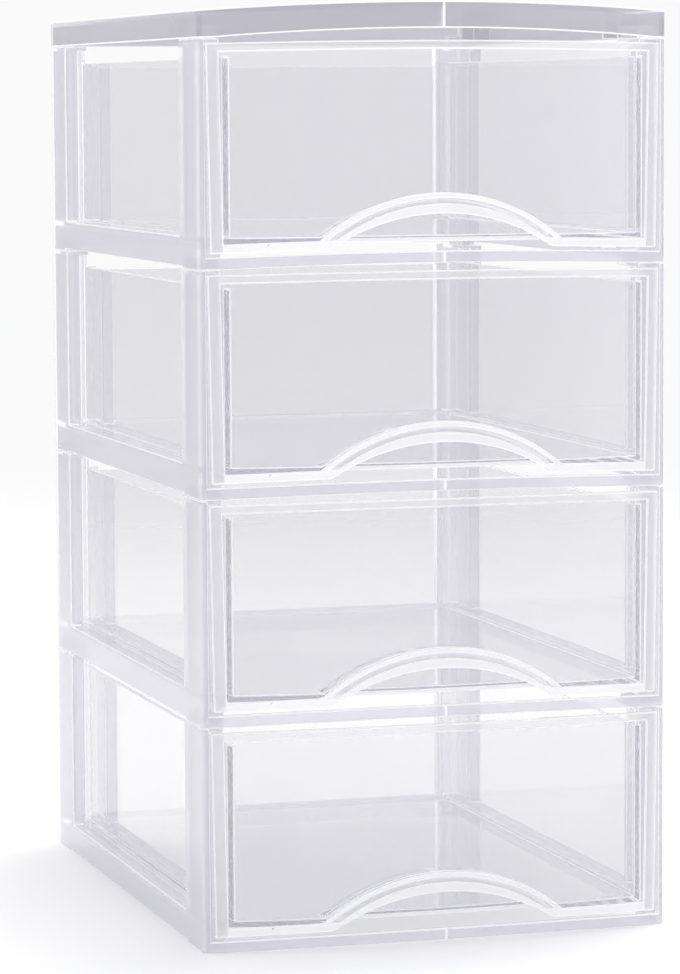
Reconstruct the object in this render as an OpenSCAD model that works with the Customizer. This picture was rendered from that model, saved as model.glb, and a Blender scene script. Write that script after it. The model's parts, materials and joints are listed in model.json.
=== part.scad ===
// Stacking drawer tower in clear moulded plastic.
// Four open tier frames stand on each other and a loose cover closes the top one.
// Each frame carries a one-piece drawer that slides out towards -Y.
// Origin: centre of the outline on the ground, +Z up, front towards -Y.

/* [Tower] */
// Width over the side walls
tower_w = 181; // [150:1:300]
// Depth from the front corners to the rear face
tower_d = 242; // [210:1:360]
// Height of one tier, from its foot to the foot of the next
tier_h = 84; // [72:1:150]
// How far the middle of the front stands ahead of its corners
bow = 10.5; // [8:0.5:14]
// Outer radius of the upright corners
corner_r = 2.5; // [1.5:0.1:5]
// Gap between stacked mouldings
stack_gap = 0.2; // [0.1:0.05:0.4]

/* [Tier frame] */
// Thickness of the frame walls
wall_t = 2.4; // [1.8:0.1:3]
// Height of the lower edge of the side and rear windows
sill_h = 11.8; // [10.6:0.1:18]
// Thickness of the ledge on top of the base
ledge_t = 2; // [1.4:0.1:2.6]
// Inward reach of the ledge and of the front posts
band_w = 9.2; // [8:0.1:14]
// Length of a post along the side
post_l = 27; // [22:0.5:45]
// Inward reach of the flange along a window edge
return_w = 5.4; // [4:0.1:7]
// Width of a rear post across the back
rear_post_w = 13.6; // [10:0.1:25]
// Height of the front rail at its ends
rail_h = 4.4; // [3.6:0.1:4.8]
// Rise of the top edge of the front rail in the middle
rail_crown = 1.8; // [1:0.1:2]
// Rise of the lower edge of the front rail in the middle
rail_arch = 1.8; // [1:0.1:2.4]
// Length of the flat foot at each end of the front rail
rail_foot = 6; // [4:0.5:20]
// Height of the drawer runner's upper face
runner_z = 8.9; // [8.4:0.1:9.4]
// Width of the runner under the drawer
runner_w = 6; // [4:0.1:9]
// Thickness of the runner
runner_t = 2; // [1.4:0.1:2.4]
// Relief of the lower edge between the corner feet
foot_relief = 0.7; // [0.4:0.1:1.2]
// Length of each corner foot along an edge
foot_l = 24; // [15:0.5:40]
// Height of the locating pegs on the posts
peg_h = 4.6; // [3:0.1:5.4]
// Wall thickness of the locating pegs
peg_t = 1.6; // [1.2:0.1:2]
// Thickness of the stiffening ribs
rib_t = 0.8; // [0.6:0.1:1.6]
// Depth of the stiffening rib behind a front rail
rib_l = 5; // [3:0.5:7]

/* [Drawer] */
// Thickness of the front panel
panel_t = 2.4; // [1.8:0.1:3]
// How far the rim of the front stands proud of its panel
bezel_raise = 0.8; // [0.4:0.1:1.2]
// Width of the raised rim at the sides of the front
bezel_side = 4.5; // [3:0.1:7]
// Width of the raised rim at the top and bottom of the front
bezel_end = 3; // [2:0.1:4]
// Gap between the front rail and the lower edge of the front
front_foot_gap = 1.3; // [0.8:0.1:2]
// Gap between the top edge of the front and the tier above
front_top_gap = 2; // [1:0.1:4]
// Rise of the top edge of the front in the middle
front_crown = 1; // [0.5:0.1:1.8]
// Gap beside the top of the front
front_side_gap = 0.6; // [0.4:0.1:1.2]
// How much narrower each side of the front is at the bottom
front_draft = 1.2; // [0.2:0.1:2.5]
// Gap between the back of the front's rim and the posts
front_back_gap = 0.8; // [0.4:0.1:2]
// Thickness of the drawer's side and rear walls
box_t = 1.8; // [1.4:0.1:2.4]
// Thickness of the drawer's floor
floor_t = 2; // [1.4:0.1:2.6]
// Outer radius of the drawer's rear corners
box_r = 6; // [3:0.5:12]
// How far the side walls stay below the top edge of the front
side_drop = 5; // [3:0.5:15]
// How far the rear wall stays below the side walls
rear_drop = 1.5; // [0.5:0.5:10]
// How far the drawer slides out before its stops meet
drawer_travel = 190; // [120:1:195]

/* [Handle] */
// Width of the arched grip over its outer edge
grip_w = 96.4; // [80:0.2:120]
// Rise of the grip's outer edge above the lower rim
grip_rise = 18.3; // [15:0.1:26]
// Width of the finger opening at the lower edge of the front
finger_w = 90; // [70:0.5:94]
// Rise of the finger opening above the lower edge of the front
finger_rise = 14.1; // [11:0.1:15]
// Width of the raised line along the grip's outer edge
grip_line = 1.3; // [0.8:0.1:2]
// Width of the groove between the raised line and the bead over the finger opening
groove_w = 2.5; // [1.5:0.1:3.5]
// How far the grip's recess goes back from the front
grip_depth = 11; // [9:0.5:20]
// Thickness of the recess roof and rear wall
grip_t = 2; // [1.4:0.1:2.6]

/* [Cover] */
// Height of the cover at its corners
cover_h = 10; // [9:0.1:16]
// Rise of the cover's top in the middle
cover_crown = 3.2; // [1:0.1:5]
// Thickness of the cover's top plate
cover_t = 2.2; // [1.6:0.1:2.8]
// Rise of the cover's lower front edge in the middle
cover_arch = 3.4; // [1:0.1:4]
// Length of the straight stretch at each end of that edge
cover_foot = 5; // [4:0.5:20]
// Distance between the two ribs beside each post
rib_pitch = 16; // [8:0.5:24]

/* [Fits] */
// Clearance on each side of a drawer between the ledges
drawer_clear = 0.6; // [0.3:0.1:1]
// Clearance between a drawer's floor and its runners
glide_clear = 0.3; // [0.2:0.05:0.5]
// Clearance behind a closed drawer
rear_clear = 1; // [0.6:0.1:4]
// Clearance around the locating pegs
peg_clear = 0.4; // [0.2:0.05:0.6]
// Clearance left between the stops at full travel
stop_clear = 0.4; // [0.2:0.1:0.8]

/* [Hidden] */
$fn = 64;

ARC_FN = 256;         // segments of the large arcs
TIERS = 4;            // frames in the stack
OVER = 1;             // overrun of cutting shapes
INNER_R = 0.8;        // least radius of an inner corner
STOP_L = 2.4;         // length of a stop along the travel
STOP_W = 5;           // width of a stop
STOP_LAP = 2.2;       // height over which two stops meet
STOP_FOOT = 1;        // how far a frame's stop reaches below its lug
STOP_Y = 14;          // distance of the frame's stops behind the front corners
PEG_PLATE_T = 1.8;    // thickness of the plate that closes a post's top

FRAME_COLOUR = [0.86, 0.86, 0.93, 0.5];
DRAWER_COLOUR = [0.93, 0.93, 0.96, 0.45];
COVER_COLOUR = [0.80, 0.81, 0.90, 0.5];

// Outline
half_w = tower_w / 2;
rear_y = (tower_d + bow) / 2;
corner_y = rear_y - tower_d;
front_y = corner_y - bow;
bow_r = arc_radius(half_w, bow);
bow_y = front_y + bow_r;

// Frame
post_y = corner_y + panel_t + bezel_raise + front_back_gap;
clear_x = half_w - band_w;
runner_x = clear_x - runner_w;
runner_bottom_z = runner_z - runner_t;
frame_h = tier_h - stack_gap;
rear_band_y = rear_y - band_w;
stop_y = corner_y + STOP_Y;

// Drawer front
front_z = rail_h + front_foot_gap;
front_top_z = tier_h - front_top_gap;
front_x = half_w - wall_t - front_side_gap;
panel_depth = bezel_raise + panel_t;
rim_z = front_z + bezel_end;

// Drawer box
box_x = clear_x - drawer_clear;
box_rear_y = rear_band_y - rear_clear;
floor_z = runner_z + glide_clear;
side_top_z = front_top_z - side_drop;
rear_top_z = side_top_z - rear_drop;

// Stops
stop_top_z = runner_z - stop_clear;
stop_bottom_z = stop_top_z - STOP_LAP;
lug_y = stop_y + STOP_L + stop_clear + drawer_travel;

// Radius of the arc over a half chord with a given rise
function arc_radius(half, rise) = (half * half + rise * rise) / (2 * rise);

// ---- outlines seen from above ----

// The tower's outline, drawn in by a given inset, with rounded corners
module tower_plan(inset) {
    r = max(corner_r - inset, INNER_R);
    x = half_w - inset - r;
    x_tangent = x * (bow_r - inset) / (bow_r - inset - r);
    y_front = bow_y - sqrt(pow(bow_r - inset - r, 2) - x * x);
    y_rear = rear_y - inset - r;
    intersection() {
        translate([0, bow_y]) circle(bow_r - inset, $fn = ARC_FN);
        translate([-x_tangent, front_y]) square([2 * x_tangent, y_rear - front_y]);
    }
    translate([-x, y_front]) square([2 * x, rear_y - inset - y_front]);
    translate([-half_w + inset, y_front]) square([2 * (half_w - inset), y_rear - y_front]);
    for (side = [-1, 1], y = [y_front, y_rear]) translate([side * x, y]) circle(r);
}

// Strip between two depths behind the bowed face, over the tower's width
module bow_plan(depth_0, depth_1) {
    intersection() {
        translate([0, bow_y]) difference() {
            circle(bow_r - depth_0, $fn = ARC_FN);
            circle(bow_r - depth_1, $fn = ARC_FN);
        }
        translate([-half_w, front_y - OVER]) square([tower_w, bow + depth_1 + 2 * OVER]);
    }
}

// The drawer box's outline, drawn in by a given inset, up to a given depth behind the bowed face
module box_plan(inset, depth) {
    r = max(box_r - inset, INNER_R);
    x = box_x - inset;
    y_rear = box_rear_y - inset;
    intersection() {
        translate([0, bow_y]) circle(bow_r - depth, $fn = ARC_FN);
        union() {
            translate([-x, front_y]) square([2 * x, y_rear - r - front_y]);
            translate([-x + r, front_y]) square([2 * (x - r), y_rear - front_y]);
            for (side = [-1, 1]) translate([side * (x - r), y_rear - r]) circle(r);
        }
    }
}

// ---- outlines seen from the front, in X and Z ----

// Everything below an arc that peaks in the middle
module under_arc(half, z_end, rise) {
    r = arc_radius(half, rise);
    translate([0, z_end + rise - r]) circle(r, $fn = ARC_FN);
}

// The front's outline, drawn in from its sides and its ends
module front_outline(in_side, in_end) {
    z_0 = front_z + in_end;
    z_1 = front_top_z - in_end;
    x_0 = front_x - front_draft - in_side;
    x_1 = front_x - in_side;
    z_peak = z_1 + front_crown;
    difference() {
        intersection() {
            polygon([[-x_0, z_0], [x_0, z_0], [x_1, z_peak], [-x_1, z_peak]]);
            under_arc(front_x, z_1, front_crown);
        }
        under_arc(half_w - wall_t, z_0, rail_crown);
    }
}

// Outer edge of the arched grip, drawn in by a given width
module grip_outline(inset) {
    r = arc_radius(grip_w / 2, grip_rise);
    translate([0, rim_z + grip_rise - r]) circle(r - inset, $fn = ARC_FN);
}

// Finger opening under the grip
module finger_outline() {
    r = arc_radius(finger_w / 2, finger_rise);
    translate([0, front_z + finger_rise - r]) circle(r, $fn = ARC_FN);
}

// ---- solids from outlines ----

// Extrudes a plan outline between two heights
module upright(z_0, z_1) {
    translate([0, 0, z_0]) linear_extrude(z_1 - z_0) children();
}

// Extrudes a front outline between two Y positions
module along_y(y_0, y_1) {
    translate([0, y_1, 0]) rotate([90, 0, 0]) linear_extrude(y_1 - y_0) children();
}

// Box given by its low and high corners
module block(low, high) {
    translate(low) cube(high - low);
}

// Repeats a right-hand shape on both sides
module both_sides() {
    for (side = [0, 1]) mirror([side, 0, 0]) children();
}

// ---- tier frame ----

// Side and rear walls of the base, open between the side walls at the front
module base_walls() {
    difference() {
        upright(0, sill_h) difference() {
            tower_plan(0);
            tower_plan(wall_t);
        }
        block([-half_w + wall_t, front_y - OVER, -OVER], [half_w - wall_t, post_y, sill_h + OVER]);
    }
}

// Bowed rail under the drawer front, arched along both edges
module front_rail() {
    intersection() {
        upright(0, rail_h + rail_crown) difference() {
            tower_plan(0);
            tower_plan(wall_t);
        }
        along_y(front_y - OVER, post_y) difference() {
            intersection() {
                translate([-half_w, 0]) square([tower_w, rail_h + rail_crown]);
                under_arc(half_w - wall_t, rail_h, rail_crown);
            }
            under_arc(half_w - rail_foot, 0, rail_arch);
        }
    }
    block([-rib_t / 2, front_y + wall_t / 2, rail_arch + rib_t / 2],
          [rib_t / 2, front_y + wall_t + rib_l, rail_h]);
}

// Ledge on top of the base, and the stepped runner that hangs from its inner edge
module ledge_and_runners() {
    step_x = clear_x + ledge_t;
    upright(sill_h - ledge_t, sill_h) difference() {
        intersection() {
            tower_plan(wall_t / 2);
            translate([-half_w, post_y]) square([tower_w, tower_d]);
        }
        translate([-clear_x, post_y - OVER]) square([2 * clear_x, rear_band_y - post_y + OVER]);
    }
    both_sides() {
        block([clear_x, post_y, runner_bottom_z], [step_x, rear_band_y, sill_h]);
        block([runner_x, post_y, runner_bottom_z], [step_x, rear_band_y, runner_z]);
    }
}

// Stops at the front ends of the runners
module frame_stops() {
    both_sides() block([runner_x - STOP_W, stop_y, stop_bottom_z - STOP_FOOT],
                       [runner_x + OVER, stop_y + STOP_L, stop_top_z]);
}

// Right-hand front post: side strip, front flange and window flange
module front_post() {
    block([half_w - wall_t, corner_y + corner_r, sill_h - OVER], [half_w, corner_y + post_l, frame_h]);
    intersection() {
        upright(sill_h - OVER, frame_h) tower_plan(0);
        block([half_w - wall_t, front_y, sill_h - OVER], [half_w, corner_y + corner_r + OVER, frame_h]);
    }
    block([clear_x, post_y, 0], [half_w - wall_t / 2, post_y + wall_t, frame_h]);
    block([half_w - return_w, corner_y + post_l - wall_t, sill_h - OVER],
          [half_w - wall_t / 2, corner_y + post_l, frame_h]);
    post_top(post_y, corner_y + post_l);
}

// Right-hand rear post: side wall, rear wall and the two window flanges
module rear_post() {
    intersection() {
        upright(sill_h - OVER, frame_h) difference() {
            tower_plan(0);
            tower_plan(wall_t);
        }
        union() {
            block([half_w - rear_post_w, rear_y - rear_post_w, 0], [half_w, rear_y, frame_h]);
            block([half_w - rear_post_w, rear_y - post_l, 0], [half_w, rear_y - rear_post_w / 2, frame_h]);
        }
    }
    block([half_w - return_w, rear_y - post_l, sill_h - OVER],
          [half_w - wall_t / 2, rear_y - post_l + wall_t, frame_h]);
    block([half_w - rear_post_w, rear_y - return_w, sill_h - OVER],
          [half_w - rear_post_w + wall_t, rear_y - wall_t / 2, frame_h]);
    post_top(rear_y - post_l, rear_y - wall_t / 2);
}

// Plate across the top of a post, with the peg that enters the moulding above
module post_top(y_0, y_1) {
    peg_x0 = half_w - band_w + peg_clear;
    peg_x1 = half_w - wall_t - peg_clear;
    peg_y0 = y_0 + wall_t + peg_clear;
    peg_y1 = y_1 - wall_t - peg_clear;
    block([clear_x, y_0, frame_h - PEG_PLATE_T], [half_w - wall_t / 2, y_1, frame_h]);
    difference() {
        block([peg_x0, peg_y0, frame_h - PEG_PLATE_T], [peg_x1, peg_y1, frame_h + peg_h]);
        block([peg_x0 + peg_t, peg_y0 + peg_t, frame_h], [peg_x1 - peg_t, peg_y1 - peg_t, frame_h + peg_h + OVER]);
    }
}

// Shallow relief under the side and rear edges, between the corner feet
module foot_reliefs() {
    block([-half_w - OVER, corner_y + foot_l, -OVER], [half_w + OVER, rear_y - foot_l, foot_relief]);
    block([-half_w + foot_l, rear_y - foot_l - OVER, -OVER], [half_w - foot_l, rear_y + OVER, foot_relief]);
}

module tier_frame(level) {
    color(FRAME_COLOUR) translate([0, 0, level * tier_h]) difference() {
        union() {
            base_walls();
            front_rail();
            ledge_and_runners();
            frame_stops();
            both_sides() {
                front_post();
                rear_post();
            }
        }
        foot_reliefs();
    }
}

// ---- drawer ----

// Bowed front with a raised rim and a raised arch over the finger opening
module drawer_front() {
    difference() {
        intersection() {
            upright(front_z - OVER, front_top_z + front_crown + OVER) bow_plan(0, panel_depth);
            along_y(front_y - OVER, post_y) front_outline(0, 0);
        }
        intersection() {
            upright(front_z, front_top_z + front_crown) bow_plan(-OVER, bezel_raise);
            along_y(front_y - OVER, post_y) panel_fields();
        }
    }
}

// The two sunk fields: the panel above the grip and the groove inside its raised line
module panel_fields() {
    difference() {
        front_outline(bezel_side, bezel_end);
        grip_outline(0);
    }
    difference() {
        intersection() {
            grip_outline(grip_line);
            front_outline(bezel_side, bezel_end);
        }
        grip_outline(grip_line + groove_w);
    }
}

// Floor with side and rear walls
module drawer_box() {
    difference() {
        upright(floor_z, side_top_z) box_plan(0, bezel_raise + panel_t / 2);
        upright(floor_z + floor_t, side_top_z + OVER) box_plan(box_t, panel_depth);
        block([-box_x + box_r, box_rear_y - box_t - OVER, rear_top_z],
              [box_x - box_r, box_rear_y + OVER, side_top_z + OVER]);
    }
}

// Walls of the recess behind the grip
module grip_recess() {
    intersection() {
        upright(floor_z, rim_z + grip_rise) bow_plan(panel_depth - panel_t / 2, grip_depth + grip_t);
        along_y(front_y, box_rear_y) grip_outline(0);
    }
}

// Space for the fingers: behind the grip, and out through the front
module finger_space() {
    intersection() {
        upright(0, rim_z + grip_rise) bow_plan(panel_depth, grip_depth);
        along_y(front_y, box_rear_y) grip_outline(grip_t);
    }
    intersection() {
        upright(0, front_z + finger_rise + OVER) bow_plan(-OVER, panel_depth + OVER);
        along_y(front_y - OVER, box_rear_y) finger_outline();
    }
}

// Lugs under the floor that meet the frame's stops
module drawer_lugs() {
    both_sides() block([runner_x - STOP_W, lug_y, stop_bottom_z],
                       [runner_x - drawer_clear, lug_y + STOP_L, floor_z + floor_t / 2]);
}

module drawer(level) {
    color(DRAWER_COLOUR) translate([0, 0, level * tier_h]) difference() {
        union() {
            drawer_front();
            drawer_box();
            grip_recess();
            drawer_lugs();
        }
        finger_space();
    }
}

// ---- cover ----

// Ribs inside the cover, beside the posts and behind the middle of the front skirt
module cover_ribs() {
    rib_top = cover_h - cover_t / 2;
    front_rib = corner_y + post_l;
    rear_rib = rear_y - post_l - rib_t;
    both_sides() for (y = [front_rib, front_rib + rib_pitch, rear_rib, rear_rib - rib_pitch])
        block([clear_x, y, stack_gap], [half_w - wall_t / 2, y + rib_t, rib_top]);
    block([-rib_t / 2, front_y + wall_t / 2, cover_arch + rib_t / 2],
          [rib_t / 2, front_y + wall_t + rib_l, rib_top]);
}

// Crowned plate with a skirt that stands on the top frame
module top_cover() {
    color(COVER_COLOUR) translate([0, 0, TIERS * tier_h]) {
        difference() {
            intersection() {
                upright(0, cover_h + cover_crown) tower_plan(0);
                along_y(front_y - OVER, rear_y + OVER) under_arc(half_w, cover_h, cover_crown);
            }
            intersection() {
                upright(-OVER, cover_h + cover_crown) tower_plan(wall_t);
                along_y(front_y - OVER, rear_y + OVER) under_arc(half_w, cover_h - cover_t, cover_crown);
            }
            along_y(front_y - OVER, post_y) under_arc(half_w - cover_foot, 0, cover_arch);
        }
        cover_ribs();
    }
}

tier_frame(0);  // tier_frame_1
tier_frame(1);  // tier_frame_2
tier_frame(2);  // tier_frame_3
tier_frame(3);  // tier_frame_4
drawer(0);  // drawer_1
drawer(1);  // drawer_2
drawer(2);  // drawer_3
drawer(3);  // drawer_4
top_cover();
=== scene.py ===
"""Clear plastic drawer tower: the looks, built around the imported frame.

Every moulding takes its shape from its CAD node. Its edges are rounded here, as a mould's are,
because clear plastic shows mostly by its edges.
"""

import json
import math

import bmesh
import bpy
from mathutils import Matrix, Vector
from mathutils.bvhtree import BVHTree
from mathutils.geometry import intersect_point_line


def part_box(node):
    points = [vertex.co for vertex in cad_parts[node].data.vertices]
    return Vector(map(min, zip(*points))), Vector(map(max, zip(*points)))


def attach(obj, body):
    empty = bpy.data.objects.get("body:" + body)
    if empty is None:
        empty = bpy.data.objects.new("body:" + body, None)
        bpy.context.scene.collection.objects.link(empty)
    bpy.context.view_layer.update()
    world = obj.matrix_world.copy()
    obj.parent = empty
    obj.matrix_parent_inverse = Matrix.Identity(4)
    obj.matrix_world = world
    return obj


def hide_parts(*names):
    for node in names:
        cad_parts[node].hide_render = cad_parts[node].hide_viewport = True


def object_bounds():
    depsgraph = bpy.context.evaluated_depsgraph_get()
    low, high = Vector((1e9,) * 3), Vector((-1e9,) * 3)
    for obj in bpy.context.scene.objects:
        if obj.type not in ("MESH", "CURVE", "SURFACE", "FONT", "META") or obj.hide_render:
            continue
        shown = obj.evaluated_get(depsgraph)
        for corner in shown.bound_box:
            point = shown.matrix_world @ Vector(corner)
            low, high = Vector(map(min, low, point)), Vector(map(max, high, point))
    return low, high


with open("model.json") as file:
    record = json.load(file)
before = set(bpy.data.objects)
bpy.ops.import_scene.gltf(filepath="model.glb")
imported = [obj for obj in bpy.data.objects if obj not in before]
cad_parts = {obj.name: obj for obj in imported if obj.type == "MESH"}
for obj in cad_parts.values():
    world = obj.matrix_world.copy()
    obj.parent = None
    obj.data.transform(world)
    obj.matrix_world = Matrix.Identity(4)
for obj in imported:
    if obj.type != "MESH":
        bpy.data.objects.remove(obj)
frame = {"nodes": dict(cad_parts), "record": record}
cad_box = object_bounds()

MM = 0.001

# Camera: where it stands and how it is turned
CAMERA_PLACE = Vector((-466.2, -1551.3, 313.3)) * MM
CAMERA_AZIMUTH = math.radians(-16.63)
CAMERA_DOWN = math.radians(5.41)
CAMERA_ROLL = math.radians(-0.29)
CAMERA_LENS = 151.0
CAMERA_CLIP = (0.01, 100)
SENSOR = 36.0

# The bowed front and the cover's crown, as in the CAD model. What stands less than BOW_ZONE
# behind the front bends with it, and what stands higher than CROWN_ZONE bends with the crown
HALF_W = 90.5 * MM
BOW = 10.5 * MM
FRONT_Y = cad_box[0].y
BOW_R = (HALF_W ** 2 + BOW ** 2) / (2 * BOW)
BOW_Y = FRONT_Y + BOW_R
BOW_ZONE = 15 * MM
CROWN = 3.2 * MM
CROWN_R = (HALF_W ** 2 + CROWN ** 2) / (2 * CROWN)
CROWN_ZONE = 342 * MM

# The front of the lowest drawer: its lower edge, the top of its lower rim, half its width
DRAWER_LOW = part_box("drawer_1")[0].z
FRONT_FOOT_Z = DRAWER_LOW + 3.0 * MM
FRONT_HALF = 83 * MM

# The finger opening in the drawers' fronts, whose edge is rounded most
FINGER_HALF = 45 * MM
FINGER_RISE = 14.1 * MM
FINGER_R = (FINGER_HALF ** 2 + FINGER_RISE ** 2) / (2 * FINGER_RISE)
FINGER_Z = DRAWER_LOW + FINGER_RISE - FINGER_R
FINGER_NEAR = 0.05 * MM

# The arched grip over it: a raised line, a groove, and a bead down to the opening
GRIP_HALF = 48.2 * MM
GRIP_RISE = 18.3 * MM
GRIP_R = (GRIP_HALF ** 2 + GRIP_RISE ** 2) / (2 * GRIP_RISE)
GRIP_Z = FRONT_FOOT_Z + GRIP_RISE - GRIP_R

# How a face's place is told: RAISED off the front or the grip's line is still on it, a front's
# wall lies before RECESS_Y, the end of the lowest drawer's floor below FLOOR_END_Z, a middle rib
# within RIB_HALF of the middle, an outer wall within SKIN of the outside, and a face whose normal
# has SQUARE_ON or more of Y faces the front or the rear
RAISED = 0.1 * MM
RECESS_Y = FRONT_Y + 8 * MM
FLOOR_END_Z = 10.85 * MM
RIB_HALF = 0.45 * MM
SKIN = 3 * MM
SQUARE_ON = 0.7

# Cleaning of the CAD mesh: what is nearer or flatter than this is joined
WELD = 0.005 * MM
FLAT = math.radians(0.4)

# Edges between SHARP and ACUTE are rounded. Faces within PATCH_ANGLE are one flat patch, and
# edges that turn between STRAIGHT and CHAIN_ANGLE are one bent run
SHARP = math.radians(25)
ACUTE = math.radians(130)
PATCH_ANGLE = math.radians(3)
CHAIN_ANGLE = math.radians(35)
STRAIGHT = math.radians(0.3)

# The full rounding, the most of it that edges get outside the finger opening, the least that is
# made, and the share of the room beside an edge that it takes. The room is measured from three
# places along the edge, past edges that touch it
ROUND_W = 1.0 * MM
ROUND_STEPS = 3
ROUND_MOST = 0.5
LEAST_ROUND = 0.1
ROUND_SHARE = 0.36
ROOM_AT = (0.02, 0.5, 0.98)
PARALLEL = 1e-9
TOUCHING = 1e-6

# A rounding within EASE_REACH of a fold is made smaller by EASE. A fold is a cut between two
# faces, or a triangle larger than a sliver that is turned away from its face
EASE = 0.7
EASE_REACH = 0.6 * MM
EASE_ROUNDS = 12
SLIVER = 0.001 * MM * MM
TURNED = 0.5

# How far apart the normals may be that are blended across a rounded edge
ROUND_REACH = math.radians(60)

# Cuts that let the mesh bend with the bow
CUT_PITCH = 4 * MM
CUTS = 23
CUT_NEAR = 0.02 * MM

# The plastic's body, and how it takes up light along a long way through it
BODY_IOR = 1.2
BODY_ROUGH = 0.03
DEPTH_COLOUR = (0.3, 0.285, 0.42)
DEPTH_DENSITY = 3.0

# Its faint ripples
RIPPLE = 0.002
RIPPLE_SCALE = 22.0
RIPPLE_DETAIL = 2.0
RIPPLE_HEIGHT = 0.1 * MM

# Its colour and haze at full painted glow, a white painted highlight that stands in for light the
# clear plastic carries to its edges
EDGE_GLOW_COLOUR = (1.0, 1.0, 1.0)
EDGE_GLOW_HAZE = 0.9

# Painted glow in the faces, a painted highlight: 0 is a plain wall, 1 a rounded edge, and below 0
# is clearer than a wall.
# LINE is the drawer's lower rim, grip and floor end, BAND the rest of its raised rim, RIM a face
# narrower than RIM_W, and INNER a rounded edge or, with CLEAR, a face in the frames' rear half,
# made clearer than the plastic as a painted lightening of the rear posts
FULL_GLOW = 1.0
LINE_GLOW = 0.9
BAND_GLOW = 0.4
RIM_GLOW = 0.3
RIM_W = 2.7 * MM
INNER_GLOW = 0.35
INNER_CLEAR = -0.4

# What each surface lets through of the lamps' light and of light scattered by other surfaces
LAMP_THROUGH = (0.895, 0.895, 0.903)
GLOW_THROUGH = (0.95, 0.95, 0.953)

# Floor: half its width, and how far out it starts to fade, in metres
FLOOR_HALF = 2.0
FLOOR_FULL = 0.4
FLOOR_COLOUR = (0.79, 0.79, 0.79)

# Studio: (place, brightness, blueness) along Y, X and Z, and the card's along X, which shows only
# in and through clear plastic
WALLS = ((-1, 0.7, 0.02), (-0.2, 0.8, 0.02), (0.35, 1.0, 0.01), (1, 1.0, 0.01))
SIDES = ((-1, 0.9, 0.01), (-0.4, 1.0, 0.0), (1, 1.0, 0.0))
CEILING = ((-1, 0.95, 0), (-0.2, 0.92, 0), (-0.1, 0.81, 0.01), (-0.03, 0.78, 0.02),
           (0.08, 0.79, 0.02), (0.4, 0.95, 0), (1, 1.1, 0))
CARD = ((-1, 0.5, 0), (-0.1, 0.42, 0), (0.3, 0.45, 0), (0.5, 0.7, 0), (0.7, 1.0, 0), (1, 0.6, 0))
CARD_SHINE = 2.2
GREEN_LOSS = 0.25
STUDIO_LIGHT = 1.12

# What the camera itself sees of the studio
GROUND_SEEN = (0.855, 0.855, 0.857)

# Bounces, enough for rays that cross many clear walls
CLEAR_BOUNCES = 96
THROUGH_BOUNCES = 64
DIFFUSE_BOUNCES = 3

BODIES = frame["record"]["behaviour"]["bodies"]
BODY_OF_NODE = {node: body for body, nodes in BODIES.items() for node in nodes}
SLOT_OF_NODE = {part["node"]: part["material_slot"] for part in frame["record"]["subparts"]}


# ---- materials ----


def node_tree(material):
    """An emptied node tree and its output node."""
    material.use_nodes = True
    tree = material.node_tree
    tree.nodes.clear()
    return tree, tree.nodes.new("ShaderNodeOutputMaterial")


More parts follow.
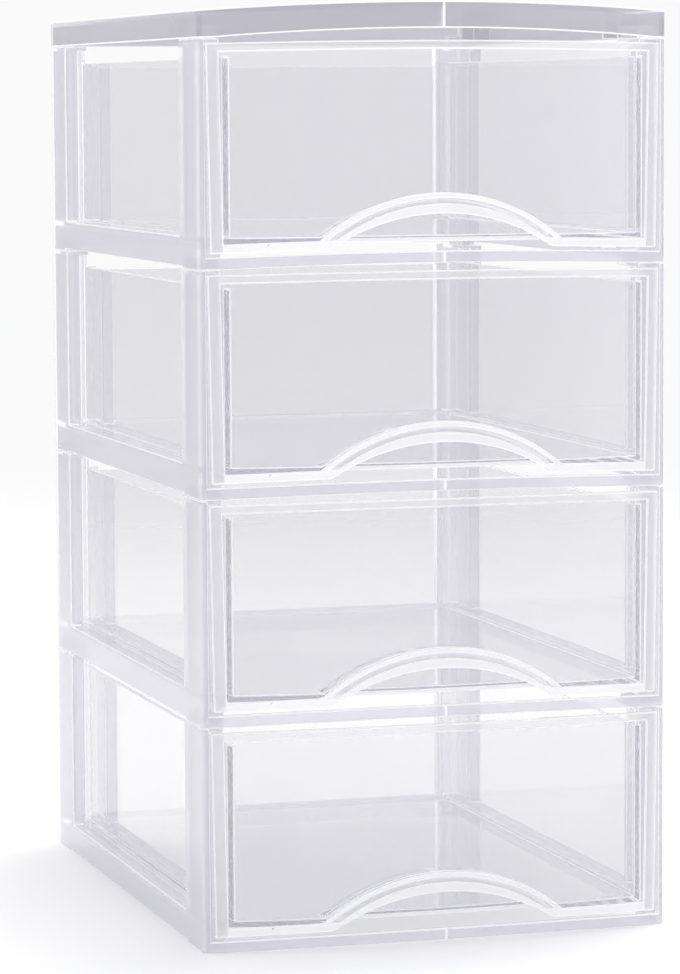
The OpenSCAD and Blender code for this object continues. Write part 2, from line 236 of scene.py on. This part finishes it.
def clear_plastic(name, tint, haze, milk_colour, gloss_ior):
    """Clear moulded plastic with faint ripples, and with more white haze where its faces carry
    painted glow, a painted highlight.

    Light from the lamps and light scattered by other surfaces pass straight through, with a loss.
    """
    material = bpy.data.materials.new(name)
    tree, out = node_tree(material)
    new, link = tree.nodes.new, tree.links.new

    glass = new("ShaderNodeBsdfPrincipled")
    glass.inputs["Base Color"].default_value = (*tint, 1)
    glass.inputs["Roughness"].default_value = BODY_ROUGH
    glass.inputs["IOR"].default_value = BODY_IOR
    glass.inputs["Transmission Weight"].default_value = 1.0
    glass.inputs["Coat Weight"].default_value = 1.0
    glass.inputs["Coat IOR"].default_value = gloss_ior
    glass.inputs["Coat Roughness"].default_value = BODY_ROUGH

    place = new("ShaderNodeTexCoord")
    ripple = new("ShaderNodeTexNoise")
    ripple.inputs["Scale"].default_value = RIPPLE_SCALE
    ripple.inputs["Detail"].default_value = RIPPLE_DETAIL
    link(place.outputs["Object"], ripple.inputs["Vector"])
    bump = new("ShaderNodeBump")
    bump.inputs["Strength"].default_value = RIPPLE
    bump.inputs["Distance"].default_value = RIPPLE_HEIGHT
    link(ripple.outputs["Fac"], bump.inputs["Height"])
    link(bump.outputs["Normal"], glass.inputs["Normal"])

    # The face attribute that whitens the haze: painted highlights on edges, rims and grip lines
    painted_glow = new("ShaderNodeAttribute")
    painted_glow.attribute_name = "painted_glow"
    haze_and_glow = new("ShaderNodeMapRange")
    haze_and_glow.clamp = False
    haze_and_glow.inputs["To Min"].default_value = haze
    haze_and_glow.inputs["To Max"].default_value = EDGE_GLOW_HAZE
    link(painted_glow.outputs["Fac"], haze_and_glow.inputs["Value"])
    white = new("ShaderNodeMix")
    white.data_type = "RGBA"
    white.inputs["A"].default_value = (*milk_colour, 1)
    white.inputs["B"].default_value = (*EDGE_GLOW_COLOUR, 1)
    link(painted_glow.outputs["Fac"], white.inputs["Factor"])
    behind = new("ShaderNodeBsdfTranslucent")
    link(white.outputs["Result"], behind.inputs["Color"])
    before = new("ShaderNodeBsdfDiffuse")
    link(white.outputs["Result"], before.inputs["Color"])
    milk_and_glow = new("ShaderNodeMixShader")
    link(behind.outputs[0], milk_and_glow.inputs[1])
    link(before.outputs[0], milk_and_glow.inputs[2])
    body = new("ShaderNodeMixShader")
    link(haze_and_glow.outputs[0], body.inputs[0])
    link(glass.outputs[0], body.inputs[1])
    link(milk_and_glow.outputs[0], body.inputs[2])

    path = new("ShaderNodeLightPath")
    seen = body.outputs[0]
    for ray, share in (("Is Diffuse Ray", GLOW_THROUGH), ("Is Shadow Ray", LAMP_THROUGH)):
        through = new("ShaderNodeBsdfTransparent")
        through.inputs["Color"].default_value = (*share, 1)
        lit = new("ShaderNodeMixShader")
        link(path.outputs[ray], lit.inputs[0])
        link(seen, lit.inputs[1])
        link(through.outputs[0], lit.inputs[2])
        seen = lit.outputs[0]
    link(seen, out.inputs["Surface"])

    depth = new("ShaderNodeVolumeAbsorption")
    depth.inputs["Color"].default_value = (*DEPTH_COLOUR, 1)
    depth.inputs["Density"].default_value = DEPTH_DENSITY
    link(depth.outputs[0], out.inputs["Volume"])
    return material


def floor_white():
    """Plain pale floor that fades out at a distance."""
    material = bpy.data.materials.new("floor_white")
    tree, out = node_tree(material)
    new, link = tree.nodes.new, tree.links.new
    matt = new("ShaderNodeBsdfDiffuse")
    matt.inputs["Color"].default_value = (*FLOOR_COLOUR, 1)
    place = new("ShaderNodeTexCoord")
    reach = new("ShaderNodeVectorMath")
    reach.operation = "LENGTH"
    link(place.outputs["Object"], reach.inputs[0])
    fade = new("ShaderNodeMapRange")
    fade.interpolation_type = "SMOOTHSTEP"
    fade.inputs["From Min"].default_value = FLOOR_FULL
    fade.inputs["From Max"].default_value = FLOOR_HALF
    link(reach.outputs["Value"], fade.inputs["Value"])
    nothing = new("ShaderNodeBsdfTransparent")
    mix = new("ShaderNodeMixShader")
    link(fade.outputs[0], mix.inputs[0])
    link(matt.outputs[0], mix.inputs[1])
    link(nothing.outputs[0], mix.inputs[2])
    link(mix.outputs[0], out.inputs["Surface"])
    return material


# ---- mouldings ----


def flatten_bow(spot):
    """Moves a point near the bowed front to where it would be if the front were flat."""
    depth = BOW_R - math.hypot(spot.x, spot.y - BOW_Y)
    if depth < BOW_ZONE:
        spot.y = FRONT_Y + depth


def restore_bow(spot, normals):
    """Bends a flattened point and its normals back to the bow."""
    depth = spot.y - FRONT_Y
    if depth < BOW_ZONE:
        radius = BOW_R - depth
        back = math.sqrt(radius ** 2 - spot.x ** 2)
        spot.y = BOW_Y - back
        for normal in normals:
            normal.x -= spot.x / radius * normal.y
            normal.y *= back / radius


def crown_height(x):
    """Height of the crown's circle over its centre."""
    return math.sqrt(CROWN_R ** 2 - x ** 2)


def flatten_crown(spot):
    """Lowers a point of the cover's plate by its crown."""
    if spot.z > CROWN_ZONE:
        spot.z -= crown_height(spot.x) - crown_height(HALF_W)


def restore_crown(spot, normals):
    """Raises a point of the cover's plate and turns its normals to the crown."""
    if spot.z > CROWN_ZONE:
        height = crown_height(spot.x)
        spot.z += height - crown_height(HALF_W)
        for normal in normals:
            normal.x += spot.x / height * normal.z


def cleaned_mesh(node, flatten):
    """The node's mesh, flattened, with doubled corners welded and flat faces joined."""
    mesh = bmesh.new()
    mesh.from_mesh(frame["nodes"][node].data)
    bmesh.ops.remove_doubles(mesh, verts=mesh.verts, dist=WELD)
    for vert in mesh.verts:
        for move in flatten:
            move(vert.co)
    mesh.normal_update()
    bmesh.ops.dissolve_limit(mesh, angle_limit=FLAT, use_dissolve_boundaries=False,
                             verts=mesh.verts, edges=mesh.edges)
    mesh.normal_update()
    return mesh


def mark_rims(mesh):
    """Paints a little glow on the narrow faces at the walls' ends, and full glow on the faces of a
    middle rib: painted highlights.
    """
    painted_glow = mesh.faces.layers.float.new("painted_glow")
    left = set(mesh.faces)
    while left:
        queue = [left.pop()]
        patch = set(queue)
        while queue:
            for edge in queue.pop().edges:
                if edge.calc_face_angle(0) < SHARP:
                    for other in left.intersection(edge.link_faces):
                        left.discard(other)
                        patch.add(other)
                        queue.append(other)
        area = sum(face.calc_area() for face in patch)
        rim = sum(edge.calc_length() for face in patch for edge in face.edges
                  if edge.calc_face_angle(0) >= SHARP)
        # Narrow rim faces get a little painted highlight
        if 2 * area < RIM_W * rim:
            for face in patch:
                face[painted_glow] = RIM_GLOW
    # A middle rib's faces get a full painted highlight
    for face in mesh.faces:
        if all(abs(vert.co.x) < RIB_HALF for vert in face.verts):
            face[painted_glow] = FULL_GLOW


def coplanar_patch(face):
    """The faces that continue a face in its own plane."""
    patch, queue = {face}, [face]
    while queue:
        for edge in queue.pop().edges:
            for other in edge.link_faces:
                if other not in patch and other.normal.angle(face.normal) < PATCH_ANGLE:
                    patch.add(other)
                    queue.append(other)
    return patch


def patch_rim(face):
    """The sharp edges around a face and all that continues it."""
    return {edge for one in coplanar_patch(face) for edge in one.edges
            if edge.calc_face_angle(0) > SHARP}


def measure_across(edge, loop, rim, room):
    """Notes how near the other sharp edges of a patch come to one of them, square to it."""
    start = loop.vert.co
    along = loop.link_loop_next.vert.co - start
    length = along.length
    along = along.normalized()
    inward = loop.face.normal.cross(along)
    for share in ROOM_AT:
        spot = start + along * (length * share)
        for other in rim:
            if set(other.verts) & set(edge.verts):
                continue
            (ux, uy), (vx, vy) = (((vert.co - spot).dot(along), (vert.co - spot).dot(inward))
                                  for vert in other.verts)
            if min(ux, vx) > 0 or max(ux, vx) < 0:
                continue
            is_parallel = abs(vx - ux) < PARALLEL
            across = min(uy, vy) if is_parallel else uy - ux * (vy - uy) / (vx - ux)
            if across > TOUCHING:
                room[edge] = min(room[edge], across)
                room[other] = min(room.get(other, math.inf), across)


def turn_between(edge, other, vert):
    """How much the way turns from one edge into another at the corner they share."""
    return (edge.other_vert(vert).co - vert.co).angle(vert.co - other.other_vert(vert).co)


def on_finger_edge(edge):
    """Whether an edge lies on the front edge of a drawer's finger opening."""
    return all(vert.co.y < FRONT_Y + FINGER_NEAR
               and abs(math.hypot(vert.co.x, vert.co.z - FINGER_Z) - FINGER_R) < FINGER_NEAR
               for vert in edge.verts)


def rounding_weights(mesh):
    """Gives each sharp edge the share of the full rounding that it has room for."""
    layer = mesh.edges.layers.float.new("bevel_weight_edge")
    sharp = {edge for edge in mesh.edges if SHARP < edge.calc_face_angle(0) < ACUTE}
    rims, room = {}, dict.fromkeys(sharp, math.inf)
    for edge in sharp:
        for loop in edge.link_loops:
            if loop.face not in rims:
                rims[loop.face] = patch_rim(loop.face)
            measure_across(edge, loop, rims[loop.face], room)
        for vert in edge.verts:
            others = [other for other in vert.link_edges if other in sharp and other != edge]
            for other in others:
                runs_on = any(turn_between(other, third, vert) < CHAIN_ANGLE
                              for third in others + [edge] if third != other)
                if not runs_on:
                    room[edge] = min(room[edge], other.calc_length())
    for edge in sharp:
        most = 1.0 if on_finger_edge(edge) else ROUND_MOST
        edge[layer] = min(most, ROUND_SHARE * room[edge] / ROUND_W)
    for run in bent_runs(sharp):
        set_run(run, layer, min(edge[layer] for edge in run))
    return layer


def bent_runs(sharp):
    """Sharp edges in runs that turn little by little, such as a round corner and its ends."""
    left, runs = set(sharp), []
    while left:
        queue = [left.pop()]
        run = set(queue)
        while queue:
            edge = queue.pop()
            for vert in edge.verts:
                for other in vert.link_edges:
                    if other in left and STRAIGHT < turn_between(edge, other, vert) < CHAIN_ANGLE:
                        left.discard(other)
                        run.add(other)
                        queue.append(other)
        runs.append(run)
    return runs


def set_run(run, layer, weight):
    """Gives a run one weight, none at all where it would be next to nothing."""
    for edge in run:
        edge[layer] = weight if weight > LEAST_ROUND else 0.0


def rounded(mesh):
    """The mesh with rounded edges; one that folds over itself gets less, an inner one none."""
    layer = rounding_weights(mesh)
    runs = bent_runs([edge for edge in mesh.edges if edge[layer] > 0])
    for _ in range(EASE_ROUNDS):
        result = bevelled(mesh)
        spots = folds(result)
        if not spots:
            break
        for run in runs:
            if any(is_near(edge, spot) for edge in run for spot in spots):
                inner = not any(edge.is_convex for edge in run)
                weight = max(edge[layer] for edge in run)
                set_run(run, layer, 0.0 if inner else weight * EASE)
    return result


def is_near(edge, spot):
    """Whether a point lies within the reach of an edge's rounding."""
    a, b = (vert.co for vert in edge.verts)
    share = intersect_point_line(spot, a, b)[1]
    return (a.lerp(b, min(1.0, max(0.0, share))) - spot).length < EASE_REACH


def bevelled(mesh):
    """A copy of the mesh with its weighted edges rounded; the rounded faces have material 1."""
    data = bpy.data.meshes.new("unrounded")
    mesh.to_mesh(data)
    data.materials.append(None)
    data.materials.append(None)
    holder = bpy.data.objects.new("unrounded", data)
    bpy.context.scene.collection.objects.link(holder)
    bevel = holder.modifiers.new("rounded", "BEVEL")
    bevel.width = ROUND_W
    bevel.segments = ROUND_STEPS
    bevel.limit_method = "WEIGHT"
    bevel.use_clamp_overlap = False
    bevel.material = 1
    seen = holder.evaluated_get(bpy.context.evaluated_depsgraph_get())
    result = bmesh.new()
    result.from_mesh(seen.to_mesh())
    bpy.data.objects.remove(holder)
    bpy.data.meshes.remove(data)
    return result


def folds(mesh):
    """Places where a shell's triangles cut through each other or lie upside down in their face."""
    test = mesh.copy()
    test.normal_update()
    normals = [face.normal.copy() for face in test.faces]
    origin = test.faces.layers.int.new("origin")
    for index, face in enumerate(test.faces):
        face[origin] = index
    bmesh.ops.triangulate(test, faces=test.faces)
    test.normal_update()
    test.faces.ensure_lookup_table()
    tree = BVHTree.FromBMesh(test)
    found = {index for pair in tree.overlap(tree) for index in pair
             if not set(test.faces[pair[0]].verts) & set(test.faces[pair[1]].verts)}
    spots = [test.faces[index].calc_center_median() for index in sorted(found)]
    for face in test.faces:
        if face.calc_area() > SLIVER and face.normal.dot(normals[face[origin]]) < TURNED:
            spots += [vert.co.copy() for vert in face.verts]
    test.free()
    return spots


def front_glow(face):
    """The painted glow in a face of a drawer, a painted highlight: most in the lower rim, the grip
    and the floor's end.
    """
    middle = face.calc_center_median()
    if face.normal.y > -SQUARE_ON:
        return 0.0
    if middle.y > RECESS_Y:
        is_floor_end = middle.y < 0 and middle.z < FLOOR_END_Z and abs(middle.x) < GRIP_HALF
        return LINE_GLOW if is_floor_end else 0.0
    if middle.y > FRONT_Y + RAISED:
        return 0.0
    # The grip's line and the lower rim get the strongest painted highlight, the rest of the raised
    # rim less
    off = math.hypot(middle.x, middle.z - GRIP_Z)
    in_grip = off < GRIP_R + RAISED
    is_line = in_grip or middle.z < FRONT_FOOT_Z and abs(middle.x) < FRONT_HALF
    return LINE_GLOW if is_line else BAND_GLOW


def is_inner(face):
    """Whether a face lies in the tower's rear half, inside its side walls' skin."""
    middle = face.calc_center_median()
    return abs(middle.x) < HALF_W - SKIN and middle.y > 0


def is_before_rib(face):
    """Whether a face belongs to the strip of a front wall that its middle rib stands behind."""
    return (abs(face.normal.y) > SQUARE_ON and face.calc_center_median().y < RECESS_Y
            and all(abs(vert.co.x) < RIB_HALF + RAISED for vert in face.verts))


def set_glow(mesh, is_drawer, is_frame):
    """Gives the faces their painted glow, on top of that of the rims: painted highlights on rounded
    edges and the rib's strip, and a painted lightening of the frames' rear half.
    """
    painted_glow = mesh.faces.layers.float["painted_glow"]
    for face in mesh.faces:
        inner = is_inner(face)
        if face.material_index:
            # Rounded edges get a painted highlight, a weaker one inside the rear half
            outermost = face.calc_center_median().y > cad_box[1].y - SKIN
            face[painted_glow] = INNER_GLOW if inner and not outermost else FULL_GLOW
        elif is_drawer:
            face[painted_glow] = max(face[painted_glow], front_glow(face))
        elif inner and is_frame:
            # Frame faces in the rear half are clearer than the plastic, a painted lightening of the
            # rear posts
            face[painted_glow] = INNER_CLEAR
        elif is_before_rib(face):
            # The front wall's strip before the middle rib gets a full painted highlight
            face[painted_glow] = FULL_GLOW


def cut(mesh, place, facing):
    """Splits the mesh's faces along a plane."""
    bmesh.ops.bisect_plane(mesh, geom=mesh.verts[:] + mesh.edges[:] + mesh.faces[:],
                           dist=CUT_NEAR, plane_co=place, plane_no=facing)


def cut_across(mesh):
    """Cuts the mesh at even steps of X, so that it can bend."""
    for k in range(-CUTS, CUTS):
        cut(mesh, ((k + 0.5) * CUT_PITCH, 0, 0), (1, 0, 0))


def corner_normals(mesh):
    """Exact shading normals: flat faces stay flat up to their rounded edges."""
    mesh.normal_update()
    normals = {}
    for vert in mesh.verts:
        rounds = [(face.normal, face.calc_area()) for face in vert.link_faces]
        flats = [(face.normal, face.calc_area()) for face in vert.link_faces
                 if face.material_index == 0]
        for loop in vert.link_loops:
            own = loop.face.normal
            is_flat = loop.face.material_index == 0
            pool, reach = (flats, SHARP) if is_flat else (flats or rounds, ROUND_REACH)
            near = [(n, area) for n, area in pool if own.angle(n) < reach] or [(own, 1)]
            if flats and not is_flat:
                lead = min(near, key=lambda pair: own.angle(pair[0]))[0]
                near = [(n, area) for n, area in near if lead.angle(n) < SHARP]
            normals[loop] = sum((n * area for n, area in near), Vector()).normalized()
    return normals


def shell(node, flatten, restore):
    """Mesh data of a moulding: the node's shape with rounded edges, and each face's painted glow.
    """
    is_drawer, is_frame = node.startswith("drawer"), node.startswith("tier_frame")
    mesh = cleaned_mesh(node, flatten)
    mark_rims(mesh)
    result = rounded(mesh)
    mesh.free()
    cut_across(result)
    if is_drawer:
        cut(result, (0, 0, FLOOR_END_Z), (0, 0, 1))
    else:
        cut(result, (-RIB_HALF, 0, 0), (1, 0, 0))
        cut(result, (RIB_HALF, 0, 0), (1, 0, 0))
    normals = corner_normals(result)
    set_glow(result, is_drawer, is_frame)
    for vert in result.verts:
        for move in restore:
            move(vert.co, [normals[loop] for loop in vert.link_loops])
    in_order = [normals[loop].normalized() for face in result.faces for loop in face.loops]
    for face in result.faces:
        face.smooth = True
        face.material_index = 0
    data = bpy.data.meshes.new(node)
    result.to_mesh(data)
    result.free()
    data.normals_split_custom_set(in_order)
    return data


def moulding(node, data, lift, material):
    """A moulding from its shell, lifted to its tier."""
    data = data.copy()
    data.transform(Matrix.Translation((0, 0, lift)))
    data.materials.clear()
    data.materials.append(material)
    piece = bpy.data.objects.new(node + "_moulding", data)
    bpy.context.scene.collection.objects.link(piece)
    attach(piece, BODY_OF_NODE[node])
    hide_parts(node)


# ---- stage ----


def make_floor():
    """A wide pale floor under the tower."""
    corners = ((-1, -1), (1, -1), (1, 1), (-1, 1))
    data = bpy.data.meshes.new("floor")
    data.from_pydata([(x * FLOOR_HALF, y * FLOOR_HALF, 0) for x, y in corners], [], [(0, 1, 2, 3)])
    data.materials.append(floor_white())
    floor = bpy.data.objects.new("floor", data)
    bpy.context.scene.collection.objects.link(floor)


def make_world():
    """A pale studio, brighter behind and above, with a bright card at the right.

    The card shows only in and through the clear plastic, because a refracted ray counts as glossy
    too. The camera itself sees only a plain near-white ground.
    """
    world = bpy.data.worlds.new("studio")
    bpy.context.scene.world = world
    world.use_nodes = True
    tree = world.node_tree
    tree.nodes.clear()
    new, link = tree.nodes.new, tree.links.new

    place = new("ShaderNodeTexCoord")
    split = new("ShaderNodeSeparateXYZ")
    link(place.outputs["Generated"], split.inputs[0])
    walls = times(tree, colour_ramp(tree, split.outputs["Y"], WALLS),
                  colour_ramp(tree, split.outputs["X"], SIDES))
    room = times(tree, walls, colour_ramp(tree, split.outputs["Z"], CEILING))

    path = new("ShaderNodeLightPath")
    card = new("ShaderNodeVectorMath")
    card.operation = "SCALE"
    card.inputs["Scale"].default_value = CARD_SHINE
    link(colour_ramp(tree, split.outputs["X"], CARD), card.inputs[0])
    lit = times(tree, room, card.outputs[0], path.outputs["Is Glossy Ray"])
    seen = new("ShaderNodeMix")
    seen.data_type = "RGBA"
    link(path.outputs["Is Camera Ray"], seen.inputs["Factor"])
    link(lit, seen.inputs["A"])
    seen.inputs["B"].default_value = (*GROUND_SEEN, 1)
    back = new("ShaderNodeBackground")
    link(seen.outputs["Result"], back.inputs["Color"])
    back.inputs["Strength"].default_value = STUDIO_LIGHT
    out = new("ShaderNodeOutputWorld")
    link(back.outputs[0], out.inputs["Surface"])


def times(tree, first, second, share=None):
    """One colour times another, wholly or by a share."""
    product = tree.nodes.new("ShaderNodeMix")
    product.data_type, product.blend_type = "RGBA", "MULTIPLY"
    product.inputs["Factor"].default_value = 1
    tree.links.new(first, product.inputs["A"])
    tree.links.new(second, product.inputs["B"])
    if share is not None:
        tree.links.new(share, product.inputs["Factor"])
    return product.outputs["Result"]


def colour_ramp(tree, value, stops):
    """A ramp over a direction's coordinate, from -1 to 1, by (place, brightness, blueness)."""
    unit = tree.nodes.new("ShaderNodeMapRange")
    unit.inputs["From Min"].default_value = -1
    unit.inputs["From Max"].default_value = 1
    tree.links.new(value, unit.inputs["Value"])
    ramp = tree.nodes.new("ShaderNodeValToRGB")
    ramp.color_ramp.interpolation = "EASE"
    while len(ramp.color_ramp.elements) < len(stops):
        ramp.color_ramp.elements.new(0.5)
    for element, (place, light, blue) in zip(ramp.color_ramp.elements, stops):
        element.position = (place + 1) / 2
        element.color = (light, light * (1 - GREEN_LOSS * blue), light * (1 + blue), 1)
    tree.links.new(unit.outputs[0], ramp.inputs[0])
    return ramp.outputs[0]


def make_lamp(name, place, aim, size, watts, in_gloss=True):
    """A soft white rectangular lamp that faces a point, in metres."""
    data = bpy.data.lights.new(name, "AREA")
    data.shape = "RECTANGLE"
    data.size, data.size_y = size
    data.energy = watts
    lamp = bpy.data.objects.new(name, data)
    lamp.location = place
    lamp.visible_glossy = in_gloss
    lamp.rotation_mode = "QUATERNION"
    lamp.rotation_quaternion = (Vector(aim) - Vector(place)).to_track_quat("-Z", "Y")
    bpy.context.scene.collection.objects.link(lamp)


def make_camera():
    """The camera at the photographer's place, turned a little about its own axis."""
    a, e, r = CAMERA_AZIMUTH, CAMERA_DOWN, CAMERA_ROLL
    back = Vector((math.sin(a) * math.cos(e), -math.cos(a) * math.cos(e), math.sin(e)))
    right = Vector((math.cos(a), math.sin(a), 0))
    up = back.cross(right)
    turned_right = right * math.cos(r) + up * math.sin(r)
    turned_up = up * math.cos(r) - right * math.sin(r)
    data = bpy.data.cameras.new("camera")
    data.sensor_width = SENSOR
    data.lens = CAMERA_LENS
    data.clip_start, data.clip_end = CAMERA_CLIP
    camera = bpy.data.objects.new("camera", data)
    turn = Matrix((turned_right, turned_up, back)).transposed().to_4x4()
    camera.matrix_world = Matrix.Translation(CAMERA_PLACE) @ turn
    bpy.context.scene.collection.objects.link(camera)
    bpy.context.scene.camera = camera


def set_light_paths():
    """Enough bounces for the clear walls, no caustics, and plain tones."""
    scene = bpy.context.scene
    scene.cycles.max_bounces = CLEAR_BOUNCES
    scene.cycles.transmission_bounces = CLEAR_BOUNCES
    scene.cycles.transparent_max_bounces = THROUGH_BOUNCES
    scene.cycles.glossy_bounces = CLEAR_BOUNCES
    scene.cycles.diffuse_bounces = DIFFUSE_BOUNCES
    scene.cycles.caustics_refractive = False
    scene.cycles.caustics_reflective = False
    scene.view_settings.view_transform = "Standard"


def make_mouldings():
    """All nine mouldings: each kind is made once, from its lowest node, and lifted into place."""
    plastics = {
        "clear_frame": clear_plastic("frame_plastic", tint=(0.94, 0.938, 0.948), haze=0.38,
                                     milk_colour=(0.735, 0.725, 0.78), gloss_ior=1.5),
        "clear_drawer": clear_plastic("drawer_plastic", tint=(0.935, 0.934, 0.942), haze=0.09,
                                      milk_colour=(0.77, 0.767, 0.785), gloss_ior=1.35),
        "clear_cover": clear_plastic("cover_plastic", tint=(0.88, 0.878, 0.89), haze=0.38,
                                     milk_colour=(0.515, 0.51, 0.553), gloss_ior=1.8),
    }
    shells = {
        "tier_frame_1": shell("tier_frame_1", [flatten_bow], [restore_bow]),
        "drawer_1": shell("drawer_1", [flatten_bow], [restore_bow]),
        "top_cover": shell("top_cover", [flatten_bow, flatten_crown], [restore_crown, restore_bow]),
    }
    for node in sorted(frame["nodes"]):
        first = "top_cover" if node == "top_cover" else node[:-1] + "1"
        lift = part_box(node)[0].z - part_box(first)[0].z
        moulding(node, shells[first], lift, plastics[SLOT_OF_NODE[node]])


make_mouldings()
make_floor()
make_world()
make_lamp("key", place=(1.0, 0.8, 3.7), aim=(0, 0, 0.1), size=(1.6, 1.6), watts=72)
make_lamp("fill", place=(-0.3, -2.1, 1.0), aim=(0, 0, 0.15), size=(1.2, 1.2), watts=15,
          in_gloss=False)
make_camera()
set_light_paths()
